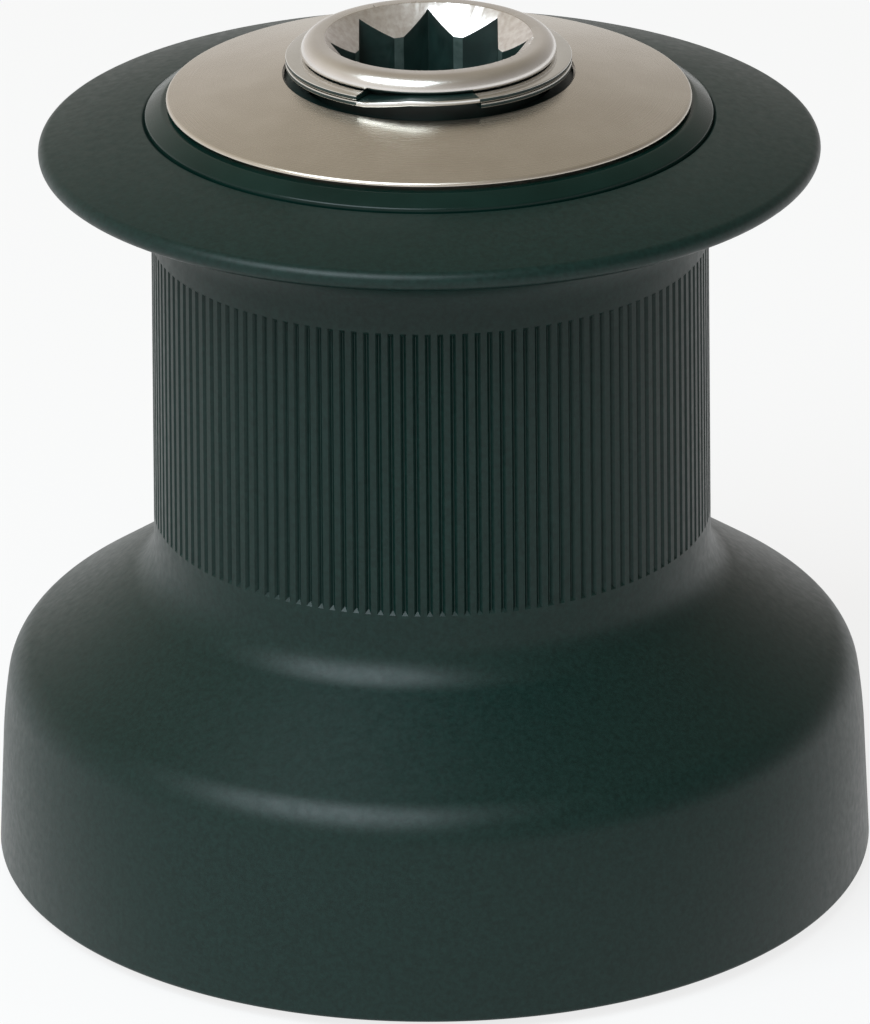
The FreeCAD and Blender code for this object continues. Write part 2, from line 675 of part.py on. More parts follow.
def carrier_outline():
    return [
        (SOCKET_BODY_R, CARRIER_LOW),
        (CARRIER_R, CARRIER_LOW),
        (CARRIER_R, CARRIER_TOP),
        (NECK_R, CARRIER_TOP),
        (NECK_R, RETAINER_LOW - SLIDE_FIT),
        (RETAINER_IN_R - SLIDE_FIT, RETAINER_LOW - SLIDE_FIT),
        (RETAINER_IN_R - SLIDE_FIT, HEAD_LOW),
    ]


def head_outline():
    """Rounded head of the spindle. Its flat face starts at the countersink's edge."""
    head_round = min(HEAD_ROUND, HEAD_THICK - HEAD_EDGE - SLIDE_FIT)
    crown = (HEAD_R - head_round, HEAD_TOP - head_round)
    return [
        (HEAD_R - HEAD_EDGE, HEAD_LOW),
        (HEAD_R, HEAD_LOW + HEAD_EDGE),
        (HEAD_R, HEAD_TOP - head_round),
        (on_arc(crown, head_round, 45), (HEAD_R - head_round, HEAD_TOP)),
    ]


def handle_socket():
    """Star of two handle squares an eighth of a turn apart, countersunk, over a round lock chamber."""
    step = 360.0 / STAR_POINTS
    half_flat = STAR_TIP_FLAT / 2
    sharp_r = HANDLE_SQUARE / 2 / math.cos(math.radians(step / 2))
    flat_r = sharp_r + half_flat / math.tan(math.radians(90 - step / 2))
    blunt = math.degrees(math.atan2(half_flat, flat_r))
    corners = []
    for i in range(STAR_POINTS):
        corners.append(polar(STAR_R, i * step))
        corners.append(polar(flat_r, (i + 0.5) * step - blunt))
        corners.append(polar(flat_r, (i + 0.5) * step + blunt))
    star = plate(corners, SOCKET_FLOOR, HEAD_TOP)
    sink_r = STAR_R + COUNTERSINK_LIP
    sink_low = FreeCAD.Vector(0, 0, HEAD_TOP - COUNTERSINK_DEPTH)
    sink = Part.makeCone(sink_r - COUNTERSINK_DEPTH, sink_r, COUNTERSINK_DEPTH, sink_low)
    chamber = rod(LOCK_CHAMBER_R, SOCKET_FLOOR - LOCK_CHAMBER_DEPTH, SOCKET_FLOOR)
    return star.fuse([sink, chamber])


def pawl_pocket():
    """Slot in the carrier that holds a pawl, its spring and its pin."""
    low = SPINDLE_PAWL_LOW - PLAY
    high = SPINDLE_PAWL_LOW + SPINDLE_PAWL_THICK + PLAY
    stop = -SPINDLE_PAWL_REACH_DEG - 2 * SPRING_PAST_PAWL_DEG
    turn = stop - SPINDLE_POCKET_START_DEG
    angles = [SPINDLE_POCKET_START_DEG + turn * i / 5 for i in range(6)]
    inner = [polar(POCKET_FLOOR_R, a) for a in angles]
    outer = [polar(CARRIER_R * 1.1, a) for a in angles]
    return plate(inner + outer[::-1], low, high).fuse(spindle_pawl_pin())


def spindle_pawl():
    tip_r = HIGH_RING_TIP_R - TIP_CLEARANCE
    return pawl(SPINDLE_PAWL_PIVOT_R, SPINDLE_PAWL_EYE_R, SPINDLE_PAWL_PIN_R, tip_r,
                SPINDLE_PAWL_REACH_DEG, SPINDLE_PAWL_LOW, SPINDLE_PAWL_LOW + SPINDLE_PAWL_THICK)


def spindle_pawl_pin():
    return rod(SPINDLE_PAWL_PIN_R, CARRIER_LOW, CARRIER_TOP, polar(SPINDLE_PAWL_PIVOT_R, 0))


def spindle_pawl_spring():
    low = SPINDLE_PAWL_LOW + SPRING_INSET
    high = SPINDLE_PAWL_LOW + SPINDLE_PAWL_THICK - SPRING_INSET
    lean_r = HIGH_RING_TIP_R - TIP_CLEARANCE - SPINDLE_PAWL_EYE_R - SPRING_INSET
    return leaf_spring(POCKET_FLOOR_R, lean_r, SPINDLE_PAWL_REACH_DEG, low, high)


def split_ring(outer_r, inner_r, low, high, gap_start, gap_end):
    """Ring with a gap between two angles, counted anticlockwise from above."""
    middle = (gap_start + gap_end) / 2
    wedge = plate([ORIGIN] + [polar(2 * outer_r, a) for a in (gap_start, middle, gap_end)], low, high)
    return tube(outer_r, inner_r, low, high).cut(wedge)


def cap_retaining_ring():
    """Flat ring wound in two turns. Both ends show, and a jog between them joins the turns."""
    lower = split_ring(RETAINER_R, RETAINER_IN_R, RETAINER_LOW, RETAINER_LOW + RETAINER_THICK,
                       RETAINER_JOG_LOW_DEG, RETAINER_LOW_END_DEG)
    upper = split_ring(RETAINER_R, RETAINER_IN_R, RETAINER_HIGH, RETAINER_HIGH + RETAINER_THICK,
                       RETAINER_HIGH_END_DEG, RETAINER_JOG_HIGH_DEG)
    span = RETAINER_JOG_HIGH_DEG - RETAINER_JOG_LOW_DEG
    steps = 6
    sections = [wire_section(RETAINER_JOG_LOW_DEG - span / steps, RETAINER_LOW)]
    for i in range(steps + 1):
        share = i / steps
        low = RETAINER_LOW + share * (RETAINER_HIGH - RETAINER_LOW)
        sections.append(wire_section(RETAINER_JOG_LOW_DEG + share * span, low))
    sections.append(wire_section(RETAINER_JOG_HIGH_DEG + span / steps, RETAINER_HIGH))
    jog = Part.makeLoft(sections, True, True)
    return upper.fuse([lower, jog])


def wire_section(degrees, low):
    """Section of the retaining ring's flat wire at one angle."""
    high = low + RETAINER_THICK
    corners = [polar(RETAINER_IN_R, degrees, low), polar(RETAINER_R, degrees, low),
               polar(RETAINER_R, degrees, high), polar(RETAINER_IN_R, degrees, high)]
    return Part.makePolygon(corners + corners[:1])


def spindle_thrust_washer():
    inner_r = STEM_BORE_R + SLIDE_FIT
    return tube(SPINDLE_WASHER_R, inner_r, STEM_TOP, STEM_TOP + SPINDLE_WASHER_THICK)


def spindle_foot_washer():
    low = CIRCLIP_LOW + CIRCLIP_THICK
    return tube(FOOT_WASHER_R, SHAFT_R + SLIDE_FIT, low, low + FOOT_WASHER_THICK)


def spindle_circlip():
    return split_ring(CIRCLIP_R, CIRCLIP_GROOVE_R, CIRCLIP_LOW, CIRCLIP_LOW + CIRCLIP_THICK,
                      -CIRCLIP_GAP_DEG / 2, CIRCLIP_GAP_DEG / 2)


pieces = {
    "base_casting": base_casting(),
    "drum_thrust_washer": drum_thrust_washer(),
    "lower_roller_bearing": roller_bearing(COLLAR_TOP),
    "bearing_spacer": bearing_spacer(),
    "upper_roller_bearing": roller_bearing(upper_bearing_low()),
    "upper_spindle_bush": bush(STEM_BORE_R, TOP_BUSH_LOW),
    "lower_spindle_bush": bush(FOOT_BORE_R, FOOT_BUSH_LOW),
    "drum": drum(),
    "lower_ratchet_ring": lower_ratchet_ring(),
    "upper_ratchet_ring": upper_ratchet_ring(),
    "cap_seat_ring": cap_seat_ring(),
    "top_cap": top_cap(),
    "spindle": spindle(),
    "cap_retaining_ring": cap_retaining_ring(),
    "spindle_thrust_washer": spindle_thrust_washer(),
    "spindle_foot_washer": spindle_foot_washer(),
    "spindle_circlip": spindle_circlip(),
}
for side, degrees in (("right", 0), ("left", 180)):
    pieces["base_pawl_" + side] = swung(base_pawl(), degrees)
    pieces["base_pawl_pin_" + side] = swung(base_pawl_pin(), degrees)
    pieces["base_pawl_spring_" + side] = swung(base_pawl_spring(), degrees)
    pieces["spindle_pawl_" + side] = swung(spindle_pawl(), degrees)
    pieces["spindle_pawl_pin_" + side] = swung(spindle_pawl_pin(), degrees)
    pieces["spindle_pawl_spring_" + side] = swung(spindle_pawl_spring(), degrees)

os.makedirs("parts", exist_ok=True)
for name, shape in pieces.items():
    shape.exportStep("parts/" + name + ".step")
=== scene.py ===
from collections import namedtuple
import json
import math

import bpy
from mathutils import Matrix, Vector


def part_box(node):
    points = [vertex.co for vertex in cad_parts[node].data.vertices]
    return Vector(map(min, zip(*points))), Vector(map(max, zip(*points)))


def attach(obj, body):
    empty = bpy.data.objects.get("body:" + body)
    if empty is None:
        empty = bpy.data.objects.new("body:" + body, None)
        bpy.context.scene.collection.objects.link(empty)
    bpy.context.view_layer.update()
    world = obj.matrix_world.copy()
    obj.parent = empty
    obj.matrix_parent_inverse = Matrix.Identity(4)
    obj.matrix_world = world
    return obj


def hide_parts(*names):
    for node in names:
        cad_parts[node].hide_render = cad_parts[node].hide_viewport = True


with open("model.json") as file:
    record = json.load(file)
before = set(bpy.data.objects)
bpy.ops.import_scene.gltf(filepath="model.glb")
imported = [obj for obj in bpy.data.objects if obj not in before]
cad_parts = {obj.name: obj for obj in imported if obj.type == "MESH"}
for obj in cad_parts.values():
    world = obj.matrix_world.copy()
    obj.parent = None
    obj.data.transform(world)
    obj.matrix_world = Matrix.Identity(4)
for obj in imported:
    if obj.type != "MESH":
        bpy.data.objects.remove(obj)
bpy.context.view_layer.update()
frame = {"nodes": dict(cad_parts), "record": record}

MM = 0.001


# Sizes in millimetres and angles in degrees. The fitted pieces are measured on the frame.

def reach(node):
    """Outer radius, foot and top of a round piece."""
    low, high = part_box(node)
    return high[0] / MM, low[2] / MM, high[2] / MM


SKIRT_R, SKIRT_FOOT, CROWN = reach("drum")
HIGH_RING_R, HIGH_RING_LOW, _ = reach("upper_ratchet_ring")
LOW_RING_R, LOW_RING_LOW, LOW_RING_TOP = reach("lower_ratchet_ring")
SEAT_RING_R, SEAT_RING_LOW, SEAT_RING_TOP = reach("cap_seat_ring")
CAP_R, CAP_LOW, CAP_CREST = reach("top_cap")
RETAINER_R, RETAINER_LOW, RETAINER_TOP = reach("cap_retaining_ring")
CARRIER_R, SHAFT_LOW, HEAD_TOP = reach("spindle")
THRUST_WASHER_R, _, THRUST_WASHER_TOP = reach("drum_thrust_washer")

SLIDE_FIT = 0.1
HANDLE_SQUARE = 17.5
STAR_R = HANDLE_SQUARE / math.sqrt(2)
STAR_DEPTH = 24.0

SKIRT_TOP = 16.4
SKIRT_LEAN = 3.15
SKIRT_WALL = 3.1
SKIRT_EDGE = 0.6
BLEND_ROUND = 80.0
BLEND_TURN = 6.0
SHOULDER_ROUND = 7.2
SHOULDER_SLOPE = 33.5
COVE_ROUND = 7.0

BARREL_WALL = 4.4
BARREL_R = HIGH_RING_R + BARREL_WALL
BARREL_DRAFT = 0.8
NECK_BELOW_CROWN = 13.8
NECK = CROWN - NECK_BELOW_CROWN
NECK_ROUND = 7.0

LIP_BELOW_CROWN = 4.1
LIP = CROWN - LIP_BELOW_CROWN
LIP_OVERHANG = 12.1
LIP_REACH = BARREL_R + LIP_OVERHANG
LIP_ROUND = 1.3
CROWN_GROOVE = CROWN - SEAT_RING_LOW
CROWN_EDGE = 0.15

LOW_RING_PROUD = 3.5
CEILING = LOW_RING_LOW + LOW_RING_PROUD
CEILING_ROUND = 5.8
RATCHET_SEAT = 7.5
BEARING_ROOM = 0.6
LEDGE_REACH = 4.4
LEDGE_THICK = 3.0
THRUST_FIT = 0.3

KNURL_GROOVES = 145
KNURL_ABOVE_COVE = 3.35
KNURL_BELOW_NECK = 2.3
KNURL_DEPTH = 0.4
KNURL_RUNOUT = 0.5
LAND_SHARE = 0.5
FLANK_SHARE = 0.22

WELD = 0.001
SAME_PLACE = 0.02


# Drawing and turning

def only(piece):
    bpy.ops.object.select_all(action="DESELECT")
    piece.select_set(True)
    bpy.context.view_layer.objects.active = piece


def beside(centre, radius, degrees):
    """Place in a section, (r, z), at an angle round an arc's centre."""
    angle = math.radians(degrees)
    return (centre[0] + radius * math.cos(angle), centre[1] + radius * math.sin(angle))


def draw_section(name, path):
    """Draw a lathe section. (r, z) is a straight run to there.

    (centre, degrees, steps) is an arc from where the pen is, anticlockwise where degrees is positive.
    """
    bpy.ops.object.select_all(action="DESELECT")
    bpy.ops.mesh.primitive_plane_add(size=0.01)
    piece = bpy.context.object
    piece.name = piece.data.name = name
    bpy.ops.object.mode_set(mode="EDIT")
    bpy.ops.mesh.merge(type="CENTER")
    r, z = path[0]
    bpy.ops.transform.translate(value=(r * MM, 0, z * MM))
    for run in path[1:]:
        if len(run) == 2:
            step = ((run[0] - r) * MM, 0, (run[1] - z) * MM)
            bpy.ops.mesh.extrude_region_move(TRANSFORM_OT_translate={"value": step})
            r, z = run
        else:
            centre, degrees, steps = run
            turn = math.radians(degrees)
            middle = (centre[0] * MM, 0, centre[1] * MM)
            bpy.ops.mesh.spin(steps=steps, angle=turn, center=middle, axis=(0, 1, 0))
            out, up = r - centre[0], z - centre[1]
            r = centre[0] + out * math.cos(turn) - up * math.sin(turn)
            z = centre[1] + out * math.sin(turn) + up * math.cos(turn)
    return piece


def pick(piece, test):
    """Select in edit mode the points that pass a test of their place."""
    bpy.ops.mesh.select_mode(type="VERT")
    bpy.ops.mesh.select_all(action="DESELECT")
    bpy.ops.object.mode_set(mode="OBJECT")
    for point in piece.data.vertices:
        point.select = test(point.co.x / MM, point.co.y / MM, point.co.z / MM)
    bpy.ops.object.mode_set(mode="EDIT")


def ease_corners(piece, corners, width, segments=3):
    """Round the drawn section's corners at these places."""
    pick(piece, lambda x, y, z: any(math.hypot(x - r, z - h) < SAME_PLACE for r, h in corners))
    bpy.ops.mesh.bevel(offset=width * MM, segments=segments, affect="VERTICES")


def weld():
    bpy.ops.mesh.select_all(action="SELECT")
    bpy.ops.mesh.remove_doubles(threshold=WELD * MM)


def close_up():
    """Weld the mesh, turn its faces outward and leave edit mode."""
    weld()
    bpy.ops.mesh.normals_make_consistent(inside=False)
    bpy.ops.object.mode_set(mode="OBJECT")


def sweep(degrees, steps, repeat=False):
    """Turn what is selected anticlockwise about the axis, seen from above."""
    bpy.ops.mesh.spin(
        steps=steps, angle=math.radians(degrees), center=(0, 0, 0), axis=(0, 0, -1), dupli=repeat)


def spin_round(columns=256):
    """Turn the drawn section all the way round the axis."""
    bpy.ops.mesh.select_all(action="SELECT")
    sweep(360, columns)
    close_up()


def turn_to(piece, degrees):
    """Turn a piece about the axis and leave its object unrotated."""
    piece.rotation_euler.z = math.radians(degrees)
    only(piece)
    bpy.ops.object.transform_apply(location=False, rotation=True, scale=False)


def soften(piece, width, angle=35, segments=2):
    """Break the sharp edges so that they catch the light."""
    only(piece)
    edge = piece.modifiers.new("soft edges", "BEVEL")
    edge.width = width * MM
    edge.segments = segments
    edge.limit_method = "ANGLE"
    edge.angle_limit = math.radians(angle)
    bpy.ops.object.modifier_apply(modifier=edge.name)


def smooth(piece, angle=28):
    only(piece)
    bpy.ops.object.shade_smooth_by_angle(angle=math.radians(angle))


def cut_with(piece, cutters):
    """Cut the shapes out of a piece and throw them away."""
    for cutter in cutters:
        only(cutter)
        bpy.ops.object.transform_apply(location=True, rotation=True, scale=True)
        only(piece)
        cut = piece.modifiers.new("cut", "BOOLEAN")
        cut.operation = "DIFFERENCE"
        cut.solver = "EXACT"
        cut.object = cutter
        bpy.ops.object.modifier_apply(modifier=cut.name)
        bpy.data.objects.remove(cutter)


Face = namedtuple("Face", "r degrees z outward upward")


def look_at(face):
    """Where a face lies round the axis, and how far it faces away from the axis and up, from -1 to 1."""
    x, y, z = face.center / MM
    r = math.hypot(x, y)
    outward = (x * face.normal.x + y * face.normal.y) / r
    return Face(r, math.degrees(math.atan2(y, x)) % 360, z, outward, face.normal.z)


def finish_piece(piece, body, slot, node, finish, *coats):
    """Finish a piece all over, then each further coat (finish, test) on the faces that pass its test."""
    piece.data.materials.clear()
    piece.data.materials.append(finish)
    for number, (coat, test) in enumerate(coats, 1):
        piece.data.materials.append(coat)
        for face in piece.data.polygons:
            if test(look_at(face)):
                face.material_index = number
    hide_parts(node)
    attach(piece, body)


# Drum: skirt, shoulder, cove, knurled barrel and top flange in one turning

def shoulder_section():
    """The section from the top of the skirt's side to the cove, and the foot of the barrel after it."""
    side_r = SKIRT_R - (SKIRT_TOP - SKIRT_FOOT) * math.tan(math.radians(SKIRT_LEAN))
    blend = beside((side_r, SKIRT_TOP), -BLEND_ROUND, SKIRT_LEAN)
    turn = SKIRT_LEAN + BLEND_TURN
    shoulder = beside(beside(blend, BLEND_ROUND, turn), -SHOULDER_ROUND, turn)
    slope = 90 - SHOULDER_SLOPE
    slope_top = beside(shoulder, SHOULDER_ROUND, slope)
    cove_r = BARREL_R + COVE_ROUND * math.cos(math.radians(BARREL_DRAFT))
    run = slope_top[0] - cove_r + COVE_ROUND * math.cos(math.radians(slope))
    rise = run * math.tan(math.radians(SHOULDER_SLOPE))
    cove = (cove_r, slope_top[1] + rise + COVE_ROUND * math.sin(math.radians(slope)))
    section = [
        (side_r, SKIRT_TOP),
        (blend, BLEND_TURN, 6),
        (shoulder, slope - turn, 16),
        beside(cove, -COVE_ROUND, slope),
        (cove, BARREL_DRAFT - slope, 16),
    ]
    return section, beside(cove, -COVE_ROUND, BARREL_DRAFT)


SHOULDER, BARREL_FOOT = shoulder_section()
KNURL_LOW = BARREL_FOOT[1] + KNURL_ABOVE_COVE
KNURL_TOP = NECK - KNURL_BELOW_NECK


def barrel_at(z):
    """Place on the barrel's drafted side at a height."""
    return (BARREL_FOOT[0] - (z - BARREL_FOOT[1]) * math.tan(math.radians(BARREL_DRAFT)), z)


def flange_section():
    """From the neck fillet under the flange, round its lip and up the crown to the groove."""
    neck = (barrel_at(NECK)[0] + NECK_ROUND, NECK)
    lip = (LIP_REACH, LIP)
    run = (lip[0] - neck[0], lip[1] - neck[1])
    cross = math.degrees(math.acos((NECK_ROUND + LIP_ROUND) / math.hypot(*run)))
    under = math.degrees(math.atan2(run[1], run[0])) + cross
    crown_r = SEAT_RING_R + CROWN_GROOVE
    up = (crown_r - lip[0], CROWN - lip[1])
    over = math.degrees(math.atan2(up[1], up[0]) - math.acos(LIP_ROUND / math.hypot(*up)))
    return [
        barrel_at(NECK),
        (neck, under - 180, 18),
        beside(lip, -LIP_ROUND, under),
        (lip, over - under + 180, 14),
        (crown_r, CROWN),
        (SEAT_RING_R, SEAT_RING_LOW),
    ]


def bore_section():
    """Down the inside: upper ratchet ring, bearings, thrust ledge, lower ratchet ring and skirt."""
    inner_foot = SKIRT_R - SKIRT_WALL
    corner_r = inner_foot - (CEILING - CEILING_ROUND - SKIRT_FOOT) * math.tan(math.radians(SKIRT_LEAN))
    corner = (corner_r - CEILING_ROUND, CEILING - CEILING_ROUND)
    bearing_bore = THRUST_WASHER_R + BEARING_ROOM
    ledge_r = bearing_bore - LEDGE_REACH
    ledge_low = THRUST_WASHER_TOP + THRUST_FIT
    ledge_top = ledge_low + LEDGE_THICK
    seat = LOW_RING_R - RATCHET_SEAT
    return [
        (HIGH_RING_R, SEAT_RING_LOW),
        (HIGH_RING_R, HIGH_RING_LOW),
        (bearing_bore, HIGH_RING_LOW),
        (bearing_bore, ledge_top),
        (ledge_r, ledge_top),
        (ledge_r, ledge_low),
        (seat, ledge_low),
        (seat, LOW_RING_TOP),
        (LOW_RING_R, LOW_RING_TOP),
        (LOW_RING_R, CEILING),
        (corner[0], CEILING),
        (corner, SKIRT_LEAN - 90, 8),
        (inner_foot, SKIRT_FOOT + SKIRT_EDGE),
        (inner_foot + SKIRT_EDGE, SKIRT_FOOT),
    ]


def make_drum():
    """Turn one groove's width of the drum, press the groove in and repeat it all the way round."""
    edge = (SKIRT_R - SKIRT_EDGE, SKIRT_FOOT + SKIRT_EDGE)
    foot = [(edge[0], SKIRT_FOOT), (edge, 90, 5)]
    heights = (KNURL_LOW, KNURL_LOW + KNURL_RUNOUT, KNURL_TOP - KNURL_RUNOUT, KNURL_TOP)
    knurl = [barrel_at(z) for z in heights]
    outline = foot + SHOULDER + knurl + flange_section() + bore_section() + foot[:1]
    piece = draw_section("turned_drum", outline)
    ease_corners(piece, [(SEAT_RING_R + CROWN_GROOVE, CROWN)], CROWN_EDGE)
    pitch = 360 / KNURL_GROOVES
    floor_share = 1 - LAND_SHARE - 2 * FLANK_SHARE
    bpy.ops.mesh.select_all(action="SELECT")
    for share in (LAND_SHARE, FLANK_SHARE, floor_share, FLANK_SHARE):
        sweep(share * pitch, 1)
    press_groove(piece, pitch, (LAND_SHARE + FLANK_SHARE, 1 - FLANK_SHARE))
    bpy.ops.mesh.select_all(action="SELECT")
    sweep(360 - pitch, KNURL_GROOVES - 1, repeat=True)
    close_up()
    turn_to(piece, -LAND_SHARE / 2 * pitch)
    smooth(piece)
    return piece


def press_groove(piece, pitch, floor_lines):
    """Sink the groove's floor and crease the flanks where they meet the run-outs."""
    def at(share, line):
        r, z = line
        return beside((0, 0), r, share * pitch) + (z,)

    def near(places):
        return lambda x, y, z: any(math.dist((x, y, z), place) < SAME_PLACE for place in places)

    low, low_floor = barrel_at(KNURL_LOW), barrel_at(KNURL_LOW + KNURL_RUNOUT)
    top_floor, top = barrel_at(KNURL_TOP - KNURL_RUNOUT), barrel_at(KNURL_TOP)
    mouths = (LAND_SHARE, 1)
    for mouth, floor in zip(mouths, floor_lines):
        for surface, sunk in ((low, low_floor), (top, top_floor)):
            pick(piece, near([at(mouth, surface), at(floor, sunk)]))
            bpy.ops.mesh.vert_connect()
    pick(piece, near([at(floor, line) for floor in floor_lines for line in (low_floor, top_floor)]))
    narrower = 1 - KNURL_DEPTH / BARREL_R
    bpy.ops.transform.resize(value=(narrower, narrower, 1), center_override=(0, 0, 0))


# Seat ring and cap

SEAT_RING_SIDE = 0.8
SEAT_RING_EDGE = 0.18
CAP_SURROUND = 0.6


def make_seat_ring():
    inner = HIGH_RING_R + SLIDE_FIT
    bevel_r = CAP_R + CAP_SURROUND
    side_top = SEAT_RING_LOW + SEAT_RING_SIDE
    piece = draw_section("bevelled_seat_ring", [
        (inner, SEAT_RING_LOW),
        (SEAT_RING_R, SEAT_RING_LOW),
        (SEAT_RING_R, side_top),
        (bevel_r, SEAT_RING_TOP),
        (inner, SEAT_RING_TOP),
        (inner, SEAT_RING_LOW),
    ])
    ease_corners(piece, [(SEAT_RING_R, side_top), (bevel_r, SEAT_RING_TOP)], SEAT_RING_EDGE)
    spin_round()
    smooth(piece)
    return piece


CAP_RISE = 2.7
CAP_RIM = CAP_CREST - CAP_RISE
CAP_RIM_ROUND = 0.5
CAP_RIM_TURN = 80
CAP_RIM_EDGE = 0.1
CAP_WALL = 2.6
SPIGOT_WALL = 2.2
EYE_R = STAR_R + 3.5
BOSS_WALL = 3.5
BOSS_RISE = 1.9
CAP_RECESS_R = RETAINER_R + 0.2
CAP_RECESS_DEPTH = 0.9
CAP_RECESS_EDGE = 0.25


def make_cap():
    """Shallow cone with a rounded rim, a spigot below and a recess round the spindle's neck."""
    spigot_r = HIGH_RING_R - SLIDE_FIT
    spigot_in = spigot_r - SPIGOT_WALL
    boss_r = EYE_R + BOSS_WALL
    boss_low = CAP_LOW + BOSS_RISE
    slope = (CAP_CREST - CAP_RIM) / (CAP_R - CAP_RECESS_R)
    rim = (CAP_R - CAP_RIM_ROUND, CAP_RIM - CAP_RIM_ROUND)
    rim_low = rim[1] - CAP_RIM_EDGE
    recess_floor = CAP_CREST - CAP_RECESS_DEPTH
    piece = draw_section("polished_cap", [
        (spigot_in, CAP_LOW),
        (spigot_r, CAP_LOW),
        (spigot_r, rim_low),
        (CAP_R - CAP_RIM_EDGE, rim_low),
        (CAP_R, rim[1]),
        (rim, CAP_RIM_TURN, 6),
        (CAP_RECESS_R + CAP_RECESS_EDGE, CAP_CREST),
        (CAP_RECESS_R, CAP_CREST - CAP_RECESS_EDGE),
        (CAP_RECESS_R, recess_floor),
        (EYE_R, recess_floor),
        (EYE_R, boss_low),
        (boss_r, boss_low),
        (boss_r, CAP_RIM + slope * (CAP_R - boss_r) - CAP_WALL),
        (spigot_in, CAP_RIM + slope * (CAP_R - spigot_in) - CAP_WALL),
        (spigot_in, CAP_LOW),
    ])
    spin_round(320)
    smooth(piece, 15)
    return piece


# Spindle: shaft, pawl carrier, neck and head, with the star socket sunk from above

SHAFT_R = 9.0
SHAFT_EDGE = 0.7
CIRCLIP_SINK = 1.4
SHELL_R = STAR_R + 3
CARRIER_LOW = HIGH_RING_LOW + 0.4
CARRIER_TOP = CARRIER_LOW + 11.9
SPINDLE_NECK_R = STAR_R + 2.6
RETAINER_SINK = 0.7
HEAD_R = STAR_R + 3.7
HEAD_LOW = RETAINER_TOP + SLIDE_FIT
HEAD_ROUND = 1.8
HEAD_EDGE = 0.35
HEAD_EDGE_ROUND = 0.12
SOCKET_EDGE = 0.1
SOCKET_FLOOR = HEAD_TOP - STAR_DEPTH
TOOTH_END = 9.735
SINK_R = STAR_R + 0.7
SINK_DEPTH = 4.2
CHAMBER_R = STAR_R - 2.8
CHAMBER_DEPTH = 7.0


def make_spindle():
    _, circlip_low, circlip_top = reach("spindle_circlip")
    circlip_groove_r = SHAFT_R - CIRCLIP_SINK
    cone_top = SOCKET_FLOOR - CHAMBER_DEPTH - SHAFT_R
    retainer_groove = RETAINER_LOW - SLIDE_FIT
    retainer_groove_r = SPINDLE_NECK_R - RETAINER_SINK
    crown = (HEAD_R - HEAD_ROUND, HEAD_TOP - HEAD_ROUND)
    piece = draw_section("star_socket_spindle", [
        (0, SHAFT_LOW),
        (SHAFT_R - SHAFT_EDGE, SHAFT_LOW),
        (SHAFT_R, SHAFT_LOW + SHAFT_EDGE),
        (SHAFT_R, circlip_low - SLIDE_FIT),
        (circlip_groove_r, circlip_low - SLIDE_FIT),
        (circlip_groove_r, circlip_top + SLIDE_FIT),
        (SHAFT_R, circlip_top + SLIDE_FIT),
        (SHAFT_R, cone_top - SHELL_R + SHAFT_R),
        (SHELL_R, cone_top),
        (SHELL_R, CARRIER_LOW),
        (CARRIER_R, CARRIER_LOW),
        (CARRIER_R, CARRIER_TOP),
        (SPINDLE_NECK_R, CARRIER_TOP),
        (SPINDLE_NECK_R, retainer_groove),
        (retainer_groove_r, retainer_groove),
        (retainer_groove_r, HEAD_LOW),
        (HEAD_R - HEAD_EDGE, HEAD_LOW),
        (HEAD_R, HEAD_LOW + HEAD_EDGE),
        (HEAD_R, crown[1]),
        (crown, 90, 10),
        (0, HEAD_TOP),
    ])
    underside = [(HEAD_R - HEAD_EDGE, HEAD_LOW), (HEAD_R, HEAD_LOW + HEAD_EDGE)]
    ease_corners(piece, underside, HEAD_EDGE_ROUND, segments=2)
    spin_round()
    cut_with(piece, socket_cutters())
    soften(piece, SOCKET_EDGE)
    smooth(piece)
    return piece


def socket_cutters():
    """Two square bars an eighth of a turn apart, an octagon that blunts the teeth, countersink, chamber."""
    above = 1.0
    depth = STAR_DEPTH + above
    middle = (0, 0, (SOCKET_FLOOR + depth / 2) * MM)
    cutters = []
    for turn in (0, math.pi / 4):
        bpy.ops.mesh.primitive_cube_add(size=1, location=middle, rotation=(0, 0, turn))
        bpy.context.object.dimensions = (HANDLE_SQUARE * MM, HANDLE_SQUARE * MM, depth * MM)
        cutters.append(bpy.context.object)
    tooth_r = TOOTH_END / math.cos(math.pi / 8)
    bpy.ops.mesh.primitive_cylinder_add(vertices=8, radius=tooth_r * MM, depth=depth * MM, location=middle)
    cutters.append(bpy.context.object)
    bpy.ops.mesh.primitive_cone_add(
        vertices=256, radius1=(SINK_R - SINK_DEPTH) * MM, radius2=(SINK_R + above) * MM,
        depth=(SINK_DEPTH + above) * MM, location=(0, 0, (HEAD_TOP - (SINK_DEPTH - above) / 2) * MM))
    cutters.append(bpy.context.object)
    bpy.ops.mesh.primitive_cylinder_add(
        vertices=96, radius=CHAMBER_R * MM, depth=(CHAMBER_DEPTH + above) * MM,
        location=(0, 0, (SOCKET_FLOOR - (CHAMBER_DEPTH - above) / 2) * MM))
    cutters.append(bpy.context.object)
    return cutters


# Retaining ring: flat wire wound in two turns, with a jog where the lower turn climbs to the upper.
# Its angles are measured anticlockwise from +X, seen from above.

LOWER_END = 291
LOWER_SPAN = 312
JOG_SPAN = 19
UPPER_SPAN = 338
UPPER_END = (LOWER_END + LOWER_SPAN + JOG_SPAN + UPPER_SPAN) % 360
JOG_STEPS = 16
WIRE_R = STAR_R + 2
WIRE_THICK = 0.65
WIRE_EDGE = 0.14


